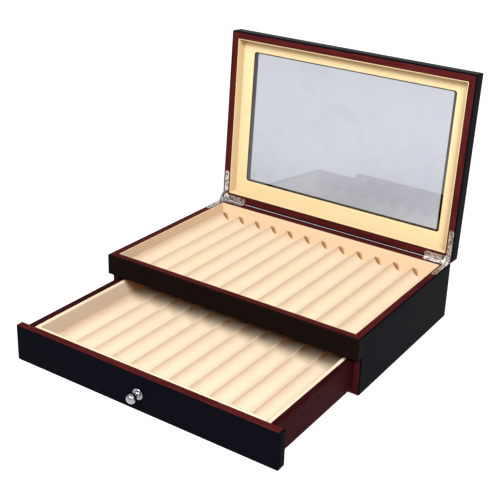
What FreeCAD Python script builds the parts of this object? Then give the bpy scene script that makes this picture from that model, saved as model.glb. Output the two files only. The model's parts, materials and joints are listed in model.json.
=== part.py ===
"""Pen collector chest: a lacquered box with a drawer and a glazed lid.

The base holds a slotted tray and, below it, a drawer with a second slotted tray.
The lid turns on two box hinges with curved stay arms let into the side walls.

Frame, millimetres: X runs along the hinges with the drawer knob at X = 0, the drawer
opens towards -Y, and +Z is up. The origin is the centre of the felt sheet's underside.
The pieces lie with the lid open at its stop and the drawer pulled out.
"""
import FreeCAD
import Part
import math
import os

Vec = FreeCAD.Vector
SAME_FACE = 1e-5          # mm, faces closer than this count as one

# ---------------------------------------------------------------- base carcass
WIDTH = 345.0             # outside, left to right
DEPTH = 234.5             # outside, front to back
BASE_HEIGHT = 72.0        # wood only, without the felt
SIDE_WALL = 9.6
FRONT_WALL = 9.8
BACK_WALL = 12.1
RAIL_HEIGHT = 24.9        # front rail, down from the rim
BOTTOM_BOARD = 5.0
FLOOR_BOARD = 4.0         # board that carries the tray
TRAY_DEPTH = 25.3         # rim down to that board
FELT = 2.0
FELT_INSET = 4.0          # felt edge in from the outside faces
EDGE_ROUND = 1.2          # outer edges
BACK_RIM_ROUND = 0.5      # outer back edge of the rim

# ---------------------------------------------------------------- linings and pen slots
TRAY_LINER = 1.0          # covered board against the tray walls
SLOT_PITCH = 26.25
SLOT_RADIUS = 12.7
SLOT_DEPTH = 10.6         # crest down to the bottom of a slot
SLOT_SKIN = 1.2           # insert left under a slot
CREST_ROUND = 0.35        # how far a crest rises above its two arcs
LEFT_SLOTS = 6            # slots in the left block of the tray's insert

# ---------------------------------------------------------------- drawer
DRAWER_FRONT = 9.3
FRONT_DROP = 1.7          # front below the carcass underside
FRONT_TOP_GAP = 5.5       # front up to the rail
FRONT_LOW_ROUND = 4.0     # bottom corners of the front, seen from the front
SIDE_BOARD = 7.5
BACK_BOARD = 8.0
DRAWER_BOTTOM = 2.5
DRAWER_LINER = 5.0        # padded board inside the drawer
LINER_ROUND = 1.8         # its rounded top edge
SIDE_GAP = 0.4            # drawer side to carcass side
RUN_GAP = 0.3             # drawer side to bottom board
TOP_GAP = 1.9             # drawer side to floor board
REAR_GAP = 0.5            # drawer back to carcass back, pushed in
STOP_LENGTH = 60.0        # cleat under the floor board
STOP_WIDTH = 6.0
STOP_DROP = 4.0
DRAWER_TRAVEL = 159.0     # from pushed in to the cleat
STOP_GAP = 0.1            # cleat to drawer back at the end of that travel
DRAWER_SHORT = 11.0       # travel still left where the drawer stands
BACK_LINER_DROP = 3.6     # back liner below the side boards, to pass the cleat

# ---------------------------------------------------------------- knob
KNOB_BALL = 5.7           # radius
KNOB_REACH = 9.5          # ball centre in front of the drawer front
KNOB_DROP = 1.5           # below the middle of the front
KNOB_NECK = 2.4           # radius
ROSETTE_RADIUS = 6.4
ROSETTE_RIM = 1.0         # thickness at the edge
ROSETTE_DOME = 3.4        # height at the neck
DOME_RADIUS = 4.2         # foot of the dome
NECK_FIT = 0.1            # rosette hole round the neck
SCREW_SHANK = 1.5         # radius
SCREW_HEAD = 3.2          # radius
SCREW_HEAD_DEPTH = 2.2
SCREW_IN_KNOB = 7.0
SCREW_FIT = 0.05

# ---------------------------------------------------------------- lid
OPEN_ANGLE = 93.5
LID_GAP = 0.4             # rim to rim, shut
LID_OVERHANG = 0.2        # lid beyond the base on each side
LID_HEIGHT = 18.7
LID_SIDE_WALL = 10.0
LID_FRONT_WALL = 9.9
LID_BACK_WALL = 10.8
LID_ROUND = 2.0           # outer edges of the top
LID_BACK_ROUND = 2.0      # outer back edge of the top
LID_HINGE_ROUND = 0.4     # outer edge of the rim along the hinges
LID_RIM_ROUND = 0.8       # outer edges of the rim
LID_PANEL = 4.0           # top panel between the rails
WINDOW_LIP = 2.0          # part of that panel outside the glass
GLASS = 2.0
GLASS_LAND = 4.0          # glass beyond the mat opening
GLASS_FIT = 0.2
MAT = 1.3
MAT_SIDE = 17.7           # mat from the lid walls to its opening
MAT_BACK = 19.1
MAT_FRONT = 16.2
MAT_CORNER = 3.5
LIP_SIDE = 4.1            # lip seen inside the mat opening
LIP_END = 1.8
LIP_CORNER = 2.5
LID_LINER = 1.0

# ---------------------------------------------------------------- hinges
HINGE_BACK = 0.3          # axis behind the base's back face
HINGE_DROP = 0.5          # axis below the base's rim
KNUCKLE_RADIUS = 1.45
KNUCKLES = 5
KNUCKLE_GAP = 0.25
KNUCKLE_CLEAR = 0.35      # leaf edge to the other leaf's knuckles
KNUCKLE_FIT = 0.15        # groove in the wood round the knuckles and pin heads
BARREL = 35.0
PIN_RADIUS = 0.8
PIN_FIT = 0.05
PIN_HEAD_RADIUS = 1.25
PIN_HEAD = 0.5
LEAF = 1.2                # plate thickness, let in flush
PLATE_CORNER = 0.5        # rounding of the plate's square corners
LEAF_FIT = 0.1            # recess round the plate
ARM_WIDTH = 6.0
ARM_INSET = 4.9           # centre of the side arm from the base's side face
SIDE_ARM = 40.0
SIDE_SCREWS = (25.65, 34.75)   # from the plate's back edge
BACK_SCREWS = (10.0, 28.5)     # from the plate's outer edge
WOOD_SCREW_HEAD = 1.7     # radius
WOOD_SCREW_SHANK = 0.9    # radius
WOOD_SCREW_LENGTH = 7.0
WOOD_SCREW_SINK = 0.9     # height of the conical head
DRIVER_SLOT = 0.4
WOOD_SCREW_FIT = 0.05

# ---------------------------------------------------------------- stay arms
STAY_RADIUS = 11.5        # middle of the curved strip, round the hinge axis
STAY_WIDTH = 4.0
STAY_HEAD = 6.0           # width of the end that catches under the plate
STAY_HEAD_ARC = 4.0       # degrees
STAY_THICK = 1.2
STAY_STOP_GAP = 0.15      # head to plate at the stop
STAY_FIT = 0.35           # round the strip in its pocket
STAY_RATIO = 0.5          # stay turn for each degree of the lid
POCKET_SPARE = 1.5        # degrees past the end of the travel

# ---------------------------------------------------------------- worked-out places
BASE_Z = FELT
RIM_Z = BASE_Z + BASE_HEIGHT
FLOOR_TOP = RIM_Z - TRAY_DEPTH
FLOOR_LOW = FLOOR_TOP - FLOOR_BOARD
BOTTOM_TOP = BASE_Z + BOTTOM_BOARD
HALF_WIDTH = WIDTH / 2
HALF_DEPTH = DEPTH / 2
INNER_X = HALF_WIDTH - SIDE_WALL
INNER_BACK = HALF_DEPTH - BACK_WALL
INNER_FRONT = -HALF_DEPTH + FRONT_WALL

AXIS_Y = HALF_DEPTH + HINGE_BACK
AXIS_Z = RIM_Z - HINGE_DROP
ARM_X = HALF_WIDTH - ARM_INSET
PLATE_OUT = ARM_X + ARM_WIDTH / 2
PLATE_BACK = AXIS_Y - KNUCKLE_RADIUS - KNUCKLE_CLEAR
BARREL_END = PLATE_OUT

LID_Z = RIM_Z + LID_GAP
LID_TOP = LID_Z + LID_HEIGHT
LID_HALF_WIDTH = HALF_WIDTH + LID_OVERHANG
LID_HALF_DEPTH = HALF_DEPTH + LID_OVERHANG
LID_INNER_X = LID_HALF_WIDTH - LID_SIDE_WALL
LID_INNER_FRONT = -LID_HALF_DEPTH + LID_FRONT_WALL
LID_INNER_BACK = LID_HALF_DEPTH - LID_BACK_WALL
PANEL_Z = LID_TOP - LID_PANEL
MAT_Z = PANEL_Z - MAT

DRAWER_X = INNER_X - SIDE_GAP
DRAWER_LOW = BOTTOM_TOP + RUN_GAP
DRAWER_TOP = FLOOR_LOW - TOP_GAP
FRONT_LOW = BASE_Z - FRONT_DROP
FRONT_TOP = RIM_Z - RAIL_HEIGHT - FRONT_TOP_GAP
FRONT_BACK_Y = -HALF_DEPTH + DRAWER_FRONT
DRAWER_REAR = INNER_BACK - REAR_GAP
DRAWER_OUT = DRAWER_TRAVEL - DRAWER_SHORT
KNOB_Z = (FRONT_LOW + FRONT_TOP) / 2 - KNOB_DROP


# ---------------------------------------------------------------- shape helpers
def box(x, y, z):
    """Block between three (low, high) pairs."""
    return Part.makeBox(x[1] - x[0], y[1] - y[0], z[1] - z[0], Vec(x[0], y[0], z[0]))


def fuse(shapes):
    """One clean solid from several that overlap or touch."""
    return shapes[0].multiFuse(shapes[1:]).removeSplitter()


def mirror_x(shape):
    """The same piece for the left side."""
    return shape.mirror(Vec(0, 0, 0), Vec(1, 0, 0))


def on_plane(axis, u, v, along):
    """Point from plane coordinates: (y, z) across X, (x, z) across Y, (x, y) across Z."""
    if axis == "x":
        return Vec(along, u, v)
    if axis == "y":
        return Vec(u, along, v)
    return Vec(u, v, along)


def rounded_prism(corners, axis, low, high):
    """Prism along an axis; each corner of its outline is (u, v, rounding radius)."""
    edges = []
    ends = []
    count = len(corners)
    for index, (u, v, radius) in enumerate(corners):
        corner = Vec(u, v, 0)
        before = Vec(*corners[index - 1][:2], 0) - corner
        after = Vec(*corners[(index + 1) % count][:2], 0) - corner
        before.normalize()
        after.normalize()
        half = before.getAngle(after) / 2
        middle = before + after
        middle.normalize()
        cut = radius / math.tan(half)
        start = corner + before * cut
        end = corner + after * cut
        ends.append((start, end))
        if radius > 0:
            bulge = corner + middle * (radius / math.sin(half) - radius)
            points = [on_plane(axis, p.x, p.y, low) for p in (start, bulge, end)]
            edges.append(Part.Arc(*points).toShape())
    for index in range(count):
        start = ends[index][1]
        end = ends[(index + 1) % count][0]
        if (end - start).Length > 1e-6:
            points = [on_plane(axis, p.x, p.y, low) for p in (start, end)]
            edges.append(Part.makeLine(*points))
    wire = Part.Wire(Part.__sortEdges__(edges))
    return Part.Face(wire).extrude(on_plane(axis, 0, 0, high - low))


def rectangle(u, v, radius):
    """Corners of a rectangle with one rounding radius."""
    return [(u[0], v[0], radius), (u[1], v[0], radius), (u[1], v[1], radius), (u[0], v[1], radius)]


def rounded_block(half_width, half_depth, low, high, plan, bottom, top, back_bottom, back_top):
    """Block whose outer edges are rounded: the overlap of its three rounded outlines."""
    side = rounded_prism([(-half_depth, low, bottom), (half_depth, low, back_bottom),
                          (half_depth, high, back_top), (-half_depth, high, top)],
                         "x", -half_width, half_width)
    front = rounded_prism([(-half_width, low, bottom), (half_width, low, bottom),
                           (half_width, high, top), (-half_width, high, top)],
                          "y", -half_depth, half_depth)
    above = rounded_prism(rectangle((-half_width, half_width), (-half_depth, half_depth), plan),
                          "z", low, high)
    return side.common((front,), SAME_FACE).common((above,), SAME_FACE)


def liner_boards(x, y, z, thickness):
    """Four boards that line a rectangular hollow: left and right run past the ends."""
    ends = (x[0] + thickness, x[1] - thickness)
    return [box((x[0], ends[0]), y, z),
            box((ends[1], x[1]), y, z),
            box(ends, (y[0], y[0] + thickness), z),
            box(ends, (y[1] - thickness, y[1]), z)]


def slotted_insert(x, y, low):
    """Insert with round-bottomed slots side by side from its left edge.

    The profile is one arc for each slot and a small arc over each crest between two.
    """
    centre_z = low + SLOT_SKIN + SLOT_RADIUS
    crest_z = low + SLOT_SKIN + SLOT_DEPTH
    reach = math.sqrt(SLOT_RADIUS ** 2 - (centre_z - crest_z) ** 2)
    count = int((x[1] - x[0]) // SLOT_PITCH)
    edges = []
    previous = Vec(x[0], y[0], crest_z)
    edges.append(Part.makeLine(Vec(x[0], y[0], low), previous))
    for slot in range(count):
        middle_x = x[0] + (slot + 0.5) * SLOT_PITCH
        left = Vec(middle_x - reach, y[0], crest_z)
        right = Vec(middle_x + reach, y[0], crest_z)
        if slot == 0:
            edges.append(Part.makeLine(previous, left))
        else:
            top = Vec(middle_x - SLOT_PITCH / 2, y[0], crest_z + CREST_ROUND)
            edges.append(Part.Arc(previous, top, left).toShape())
        deepest = Vec(middle_x, y[0], low + SLOT_SKIN)
        edges.append(Part.Arc(left, deepest, right).toShape())
        previous = right
    edges.append(Part.makeLine(previous, Vec(x[1], y[0], crest_z)))
    edges.append(Part.makeLine(Vec(x[1], y[0], crest_z), Vec(x[1], y[0], low)))
    edges.append(Part.makeLine(Vec(x[1], y[0], low), Vec(x[0], y[0], low)))
    return Part.Face(Part.Wire(edges)).extrude(Vec(0, y[1] - y[0], 0))


def turned(profile, place, direction):
    """Solid of revolution from (radius, distance along) points, (radius, distance) each.

    A triple of points stands for an arc from the last point through the first to the second.
    """
    side = Vec(1, 0, 0)
    edges = []
    last = place + side * profile[0][0] + direction * profile[0][1]
    first = last
    for item in profile[1:]:
        if isinstance(item[0], tuple):
            through = place + side * item[0][0] + direction * item[0][1]
            last_to = place + side * item[1][0] + direction * item[1][1]
            edges.append(Part.Arc(last, through, last_to).toShape())
        else:
            last_to = place + side * item[0] + direction * item[1]
            edges.append(Part.makeLine(last, last_to))
        last = last_to
    edges.append(Part.makeLine(last, first))
    return Part.Face(Part.Wire(edges)).revolve(place, direction, 360)


# ---------------------------------------------------------------- hinges
def hinge_plate(low, high, fit):
    """L-shaped plate in the right rear corner of a rim, with one long arm on the side wall."""
    out = PLATE_OUT + fit
    inner = PLATE_OUT - ARM_WIDTH - fit
    back = PLATE_BACK + fit
    inside = PLATE_BACK - ARM_WIDTH - fit
    end_y = PLATE_BACK - SIDE_ARM - fit
    end_x = PLATE_OUT - BARREL - fit
    tip = (out - inner) / 2
    outline = [(inner, end_y, tip), (out, end_y, tip), (out, back, PLATE_CORNER),
               (end_x, back, PLATE_CORNER), (end_x, inside, tip),
               (inner, inside, PLATE_CORNER)]
    return rounded_prism(outline, "z", low, high)


def plate_recess(low, high):
    """Wood removed for a hinge plate and its knuckles, open to the back face."""
    overrun = (PLATE_OUT - BARREL - LEAF_FIT, PLATE_OUT + LEAF_FIT)
    behind = box(overrun, (PLATE_BACK - ARM_WIDTH / 2, AXIS_Y), (low, high))
    groove = axis_cylinder(KNUCKLE_RADIUS + KNUCKLE_FIT,
                           (overrun[0] - PIN_HEAD, overrun[1] + PIN_HEAD))
    return fuse([hinge_plate(low, high, LEAF_FIT), behind, groove])


def stay_slot(low, high):
    """Slot in the side arm that lets the strip through but holds its heads."""
    front = AXIS_Y - STAY_RADIUS - STAY_WIDTH / 2 - STAY_FIT
    back = AXIS_Y - STAY_RADIUS + STAY_WIDTH / 2 + 2 * STAY_FIT
    half = STAY_THICK / 2 + STAY_FIT
    return box((ARM_X - half, ARM_X + half), (front, back), (low, high))


def screw_places():
    """Middle of each wood screw of the right hinge, as (x, y)."""
    side = [(ARM_X, PLATE_BACK - along) for along in SIDE_SCREWS]
    back_y = PLATE_BACK - ARM_WIDTH / 2
    back = [(PLATE_OUT - along, back_y) for along in BACK_SCREWS]
    return side + back


def wood_screw(x, y, face, inward, fit):
    """Countersunk screw with its head flush in a plate; inward is -1 down or 1 up."""
    head = WOOD_SCREW_HEAD + fit
    shank = WOOD_SCREW_SHANK + fit
    length = WOOD_SCREW_LENGTH + fit
    profile = [(0, 0), (head, 0), (shank, WOOD_SCREW_SINK + fit), (shank, length - shank),
               (0, length)]
    screw = turned(profile, Vec(x, y, face), Vec(0, 0, inward))
    if fit > 0:
        return screw
    slot = Part.makeBox(2 * head, DRIVER_SLOT, DRIVER_SLOT)
    slot.translate(Vec(x - head, y - DRIVER_SLOT / 2, face - DRIVER_SLOT * (1 + inward) / 2))
    slot.translate(Vec(0, 0, DRIVER_SLOT * inward))
    return screw.cut(slot)


def screw_holes(face, inward):
    """Holes of one hinge leaf's screws, through plate and wood."""
    return [wood_screw(x, y, face, inward, WOOD_SCREW_FIT) for x, y in screw_places()]


def knuckle_spans():
    """(low, high) along X of each knuckle of the right hinge, from its inner end."""
    length = (BARREL - (KNUCKLES - 1) * KNUCKLE_GAP) / KNUCKLES
    starts = [BARREL_END - BARREL + k * (length + KNUCKLE_GAP) for k in range(KNUCKLES)]
    return [(start, start + length) for start in starts]


def axis_cylinder(radius, span):
    """Round bar on the hinge axis."""
    return Part.makeCylinder(radius, span[1] - span[0], Vec(span[0], AXIS_Y, AXIS_Z), Vec(1, 0, 0))


def hinge_leaf(first, low, high, face, inward):
    """Right-hand leaf: plate, and every second knuckle joined to it."""
    solids = [hinge_plate(low, high, 0)]
    for span in knuckle_spans()[first::2]:
        solids.append(axis_cylinder(KNUCKLE_RADIUS, span))
        solids.append(box(span, (PLATE_BACK - LEAF, AXIS_Y), (low, high)))
    leaf = fuse(solids)
    bore = axis_cylinder(PIN_RADIUS + PIN_FIT, (BARREL_END - BARREL - 1, BARREL_END + 1))
    cuts = [bore, stay_slot(low, high)] + screw_holes(face, inward)
    return leaf.cut(Part.makeCompound(cuts)).removeSplitter()


def base_leaf():
    """Leaf let into the base's rim."""
    return hinge_leaf(0, RIM_Z - LEAF, RIM_Z, RIM_Z, -1)


def lid_leaf():
    """Leaf let into the lid's rim, in the shut position."""
    return hinge_leaf(1, LID_Z, LID_Z + LEAF, LID_Z, 1)


def hinge_pin():
    """Pin through the knuckles with a small head at each end."""
    low = BARREL_END - BARREL
    shank = axis_cylinder(PIN_RADIUS, (low - PIN_HEAD, BARREL_END + PIN_HEAD))
    inner = axis_cylinder(PIN_HEAD_RADIUS, (low - PIN_HEAD, low))
    outer = axis_cylinder(PIN_HEAD_RADIUS, (BARREL_END, BARREL_END + PIN_HEAD))
    return fuse([shank, inner, outer])


# ---------------------------------------------------------------- stay arms
def stay_angle(height):
    """Angle, up from the axis towards -Y, where a head's inner corner meets a height."""
    return math.degrees(math.asin(height / (STAY_RADIUS - STAY_HEAD / 2)))


LOW_HEAD_TOP = stay_angle(HINGE_DROP - LEAF - STAY_STOP_GAP)
LOW_HEAD_END = LOW_HEAD_TOP - STAY_HEAD_ARC
HIGH_HEAD_LOW = stay_angle(LID_Z + LEAF + STAY_STOP_GAP - AXIS_Z) + OPEN_ANGLE
HIGH_HEAD_END = HIGH_HEAD_LOW + STAY_HEAD_ARC
STAY_TURN = OPEN_ANGLE * STAY_RATIO


def ring_sector(width, start, end, thickness):
    """Part of a flat ring round the hinge axis, centred on the side arm."""
    def point(radius, angle):
        turn = math.radians(angle)
        return Vec(ARM_X - thickness / 2, AXIS_Y - radius * math.cos(turn),
                   AXIS_Z + radius * math.sin(turn))
    inner = STAY_RADIUS - width / 2
    outer = STAY_RADIUS + width / 2
    middle = (start + end) / 2
    edges = [Part.Arc(point(outer, start), point(outer, middle), point(outer, end)).toShape(),
             Part.makeLine(point(outer, end), point(inner, end)),
             Part.Arc(point(inner, end), point(inner, middle), point(inner, start)).toShape(),
             Part.makeLine(point(inner, start), point(outer, start))]
    return Part.Face(Part.Wire(edges)).extrude(Vec(thickness, 0, 0))


def stay_arm():
    """Curved strip with a wider head at each end, in the open position."""
    return fuse([ring_sector(STAY_WIDTH, LOW_HEAD_END, HIGH_HEAD_END, STAY_THICK),
                 ring_sector(STAY_HEAD, LOW_HEAD_END, LOW_HEAD_TOP, STAY_THICK),
                 ring_sector(STAY_HEAD, HIGH_HEAD_LOW, HIGH_HEAD_END, STAY_THICK)])


def base_pocket():
    """Room in the base's side wall for the stay's lower end."""
    return ring_sector(STAY_HEAD + 2 * STAY_FIT, LOW_HEAD_END - STAY_TURN - POCKET_SPARE, 0,
                       STAY_THICK + 2 * STAY_FIT)


def lid_pocket():
    """Room in the lid's side rail for the stay's upper end, with the lid shut."""
    end = HIGH_HEAD_END - OPEN_ANGLE + STAY_TURN + POCKET_SPARE
    return ring_sector(STAY_HEAD + 2 * STAY_FIT, stay_angle(LID_Z - LEAF - AXIS_Z), end,
                       STAY_THICK + 2 * STAY_FIT)


# ---------------------------------------------------------------- base carcass
def carcass_pieces():
    """Walls, boards, linings and felt of the base."""
    block = rounded_block(HALF_WIDTH, HALF_DEPTH, BASE_Z, RIM_Z, EDGE_ROUND, EDGE_ROUND,
                          EDGE_ROUND, EDGE_ROUND, BACK_RIM_ROUND)
    recess = plate_recess(RIM_Z - LEAF, RIM_Z + LEAF)
    cuts = Part.makeCompound([recess, base_pocket()] + screw_holes(RIM_Z, -1))
    side = block.common(box((INNER_X, HALF_WIDTH), (INNER_FRONT, HALF_DEPTH), (BASE_Z, RIM_Z)))
    right = side.cut(cuts)
    back = block.common(box((-INNER_X, INNER_X), (INNER_BACK, HALF_DEPTH), (BASE_Z, RIM_Z)))
    back = back.cut(cuts).cut(mirror_x(cuts))
    rail = block.common(box((-HALF_WIDTH, HALF_WIDTH), (-HALF_DEPTH, INNER_FRONT),
                            (RIM_Z - RAIL_HEIGHT, RIM_Z)))
    across = (-INNER_X, INNER_X)
    along = (INNER_FRONT, INNER_BACK)
    stop_back = DRAWER_REAR - BACK_BOARD - DRAWER_TRAVEL - STOP_GAP
    felt_front = INNER_FRONT + FELT_INSET
    felt_x = HALF_WIDTH - FELT_INSET
    insert_x = INNER_X - TRAY_LINER
    insert_y = (INNER_FRONT + TRAY_LINER, INNER_BACK - TRAY_LINER)
    insert = slotted_insert((-insert_x, insert_x), insert_y, FLOOR_TOP)
    seam = -insert_x + LEFT_SLOTS * SLOT_PITCH
    return {
        "right_side_panel": right,
        "left_side_panel": mirror_x(right),
        "back_panel": back,
        "front_rail": rail,
        "bottom_board": box(across, along, (BASE_Z, BOTTOM_TOP)),
        "tray_floor": box(across, along, (FLOOR_LOW, FLOOR_TOP)),
        "tray_liner": Part.makeCompound(liner_boards(across, along, (FLOOR_TOP, RIM_Z),
                                                     TRAY_LINER)),
        "tray_insert_left": insert.common(box((-insert_x, seam), insert_y,
                                              (FLOOR_TOP, RIM_Z))),
        "tray_insert_right": insert.common(box((seam, insert_x), insert_y,
                                               (FLOOR_TOP, RIM_Z))),
        "drawer_stop": box((-STOP_LENGTH / 2, STOP_LENGTH / 2),
                           (stop_back - STOP_WIDTH, stop_back),
                           (FLOOR_LOW - STOP_DROP, FLOOR_LOW)),
        "base_felt": box((-felt_x, felt_x), (felt_front, HALF_DEPTH - FELT_INSET), (0, FELT)),
    }


# ---------------------------------------------------------------- drawer
def knob_pieces():
    """Ball knob, its rosette and the screw from inside the drawer front."""
    foot = Vec(0, -HALF_DEPTH, KNOB_Z)
    forward = Vec(0, -1, 0)
    join = math.sqrt(KNOB_BALL ** 2 - KNOB_NECK ** 2)
    tip = KNOB_REACH + KNOB_BALL
    knob = turned([(0, 0), (KNOB_NECK, 0), (KNOB_NECK, KNOB_REACH - join),
                   ((KNOB_BALL, KNOB_REACH), (0, tip))], foot, forward)
    hole = SCREW_SHANK + SCREW_FIT
    bore = turned([(0, -SCREW_FIT), (hole, -SCREW_FIT), (hole, SCREW_IN_KNOB + SCREW_FIT),
                   (0, SCREW_IN_KNOB + SCREW_FIT)], foot, forward)
    knob = knob.cut(bore)
    inner = KNOB_NECK + NECK_FIT
    middle = ((DOME_RADIUS + inner) / 2 + ROSETTE_RIM / 2, (ROSETTE_DOME + ROSETTE_RIM) / 2)
    rosette = turned([(inner, 0), (ROSETTE_RADIUS, 0), (ROSETTE_RADIUS, ROSETTE_RIM / 2),
                      (ROSETTE_RADIUS - ROSETTE_RIM / 2, ROSETTE_RIM),
                      (DOME_RADIUS, ROSETTE_RIM), (middle, (inner, ROSETTE_DOME))],
                     foot, forward)
    head_at = -DRAWER_FRONT
    screw = turned([(0, head_at), (SCREW_HEAD, head_at), (SCREW_HEAD, head_at + SCREW_HEAD_DEPTH),
                    (SCREW_SHANK, head_at + SCREW_HEAD_DEPTH), (SCREW_SHANK, SCREW_IN_KNOB),
                    (0, SCREW_IN_KNOB)], foot, forward)
    return knob, rosette, screw


def knob_screw_hole():
    """Hole and counterbore through the drawer front."""
    foot = Vec(0, -HALF_DEPTH, KNOB_Z)
    shank = SCREW_SHANK + SCREW_FIT
    head = SCREW_HEAD + SCREW_FIT
    start = -DRAWER_FRONT - SCREW_FIT
    step = -DRAWER_FRONT + SCREW_HEAD_DEPTH
    return turned([(0, start), (head, start), (head, step), (shank, step),
                   (shank, SCREW_FIT), (0, SCREW_FIT)], foot, Vec(0, -1, 0))


def drawer_liner(x, y, z):
    """Padded boards inside the drawer, rounded along their top inner edges."""
    def board(axis, wall, room, along, top):
        outline = [(wall, z[0], 0), (room, z[0], 0), (room, top, LINER_ROUND), (wall, top, 0)]
        if room < wall:
            outline.reverse()
        return rounded_prism(outline, axis, along[0], along[1])
    inner_x = (x[0] + DRAWER_LINER, x[1] - DRAWER_LINER)
    return Part.makeCompound([
        board("y", x[0], inner_x[0], y, z[1]),
        board("y", x[1], inner_x[1], y, z[1]),
        board("x", y[0], y[0] + DRAWER_LINER, inner_x, z[1]),
        board("x", y[1], y[1] - DRAWER_LINER, inner_x, z[1] - BACK_LINER_DROP)])


def drawer_pieces():
    """Drawer, modelled pushed in and then moved out to its place."""
    front = rounded_prism([(-HALF_WIDTH, FRONT_LOW, FRONT_LOW_ROUND),
                           (HALF_WIDTH, FRONT_LOW, FRONT_LOW_ROUND),
                           (HALF_WIDTH, FRONT_TOP, EDGE_ROUND),
                           (-HALF_WIDTH, FRONT_TOP, EDGE_ROUND)], "y", -HALF_DEPTH, FRONT_BACK_Y)
    profile = rounded_prism([(-HALF_DEPTH, FRONT_LOW, EDGE_ROUND),
                             (FRONT_BACK_Y, FRONT_LOW, EDGE_ROUND / 2),
                             (FRONT_BACK_Y, FRONT_TOP, EDGE_ROUND),
                             (-HALF_DEPTH, FRONT_TOP, EDGE_ROUND)], "x", -HALF_WIDTH, HALF_WIDTH)
    above = rounded_prism([(-HALF_WIDTH, -HALF_DEPTH, EDGE_ROUND),
                           (HALF_WIDTH, -HALF_DEPTH, EDGE_ROUND),
                           (HALF_WIDTH, FRONT_BACK_Y, EDGE_ROUND / 2),
                           (-HALF_WIDTH, FRONT_BACK_Y, EDGE_ROUND / 2)], "z", FRONT_LOW, FRONT_TOP)
    front = front.common((profile,), SAME_FACE).common((above,), SAME_FACE)
    front = front.cut(knob_screw_hole())
    along = (FRONT_BACK_Y, DRAWER_REAR)
    room_x = DRAWER_X - SIDE_BOARD
    room_back = DRAWER_REAR - BACK_BOARD
    side = box((room_x, DRAWER_X), along, (DRAWER_LOW, DRAWER_TOP))
    across = (-room_x, room_x)
    floor_top = DRAWER_LOW + DRAWER_BOTTOM
    insert_x = room_x - DRAWER_LINER
    knob, rosette, screw = knob_pieces()
    pieces = {
        "drawer_front": front,
        "drawer_right_side": side,
        "drawer_left_side": mirror_x(side),
        "drawer_back": box(across, (room_back, DRAWER_REAR), (DRAWER_LOW, DRAWER_TOP)),
        "drawer_bottom": box(across, (FRONT_BACK_Y, room_back), (DRAWER_LOW, floor_top)),
        "drawer_liner": drawer_liner(across, (FRONT_BACK_Y, room_back), (floor_top, DRAWER_TOP)),
        "drawer_insert": slotted_insert((-insert_x, insert_x),
                                        (FRONT_BACK_Y + DRAWER_LINER, room_back - DRAWER_LINER),
                                        floor_top),
        "knob": knob,
        "knob_rosette": rosette,
        "knob_screw": screw,
    }
    for shape in pieces.values():
        shape.translate(Vec(0, -DRAWER_OUT, 0))
    return pieces


# ---------------------------------------------------------------- lid
def window(side, front, back, radius, low, high):
    """Prism of a rectangular opening, from insets measured inside the lid's walls."""
    return rounded_prism(rectangle((-LID_INNER_X + side, LID_INNER_X - side),
                                   (LID_INNER_FRONT + front, LID_INNER_BACK - back), radius),
                         "z", low, high)


def lid_pieces():
    """Lid, modelled shut and then turned open about the hinge axis."""
    block = rounded_block(LID_HALF_WIDTH, LID_HALF_DEPTH, LID_Z, LID_TOP, LID_ROUND,
                          LID_RIM_ROUND, LID_ROUND, LID_HINGE_ROUND, LID_BACK_ROUND)
    recess = plate_recess(LID_Z - LEAF, LID_Z + LEAF)
    cuts = Part.makeCompound([recess, lid_pocket()] + screw_holes(LID_Z, 1))
    height = (LID_Z, LID_TOP)
    across = (-LID_INNER_X, LID_INNER_X)
    right = block.common(box((LID_INNER_X, LID_HALF_WIDTH), (-LID_HALF_DEPTH, LID_HALF_DEPTH),
                             height)).cut(cuts)
    back = block.common(box(across, (LID_INNER_BACK, LID_HALF_DEPTH), height))
    back = back.cut(cuts).cut(mirror_x(cuts))
    front = block.common(box(across, (-LID_HALF_DEPTH, LID_INNER_FRONT), height))
    panel = box(across, (LID_INNER_FRONT, LID_INNER_BACK), (PANEL_Z, LID_TOP))
    glass_inset = (MAT_SIDE - GLASS_LAND, MAT_FRONT - GLASS_LAND, MAT_BACK - GLASS_LAND)
    rebate = [inset - GLASS_FIT for inset in glass_inset]
    panel = panel.cut(window(*rebate, MAT_CORNER, PANEL_Z, LID_TOP - WINDOW_LIP))
    panel = panel.cut(window(MAT_SIDE + LIP_SIDE, MAT_FRONT + LIP_END, MAT_BACK + LIP_END,
                             LIP_CORNER, PANEL_Z, LID_TOP))
    mat = window(LID_LINER, LID_LINER, LID_LINER, 0, MAT_Z, PANEL_Z)
    mat = mat.cut(window(MAT_SIDE, MAT_FRONT, MAT_BACK, MAT_CORNER, MAT_Z, PANEL_Z))
    glass_z = LID_TOP - WINDOW_LIP
    leaf = lid_leaf()
    screws = [wood_screw(x, y, LID_Z, 1, 0) for x, y in screw_places()]
    screws += [mirror_x(screw) for screw in screws]
    pieces = {
        "lid_right_rail": right,
        "lid_left_rail": mirror_x(right),
        "lid_front_rail": front,
        "lid_back_rail": back,
        "lid_top_panel": panel,
        "window_glass": window(*glass_inset, MAT_CORNER, glass_z - GLASS, glass_z),
        "lid_mat": mat,
        "lid_liner": Part.makeCompound(liner_boards(across, (LID_INNER_FRONT, LID_INNER_BACK),
                                                    (LID_Z, PANEL_Z), LID_LINER)),
        "lid_leaf_right": leaf,
        "lid_leaf_left": mirror_x(leaf),
        "lid_leaf_screws": Part.makeCompound(screws),
    }
    for shape in pieces.values():
        shape.rotate(Vec(0, AXIS_Y, AXIS_Z), Vec(1, 0, 0), -OPEN_ANGLE)
    return pieces


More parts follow.
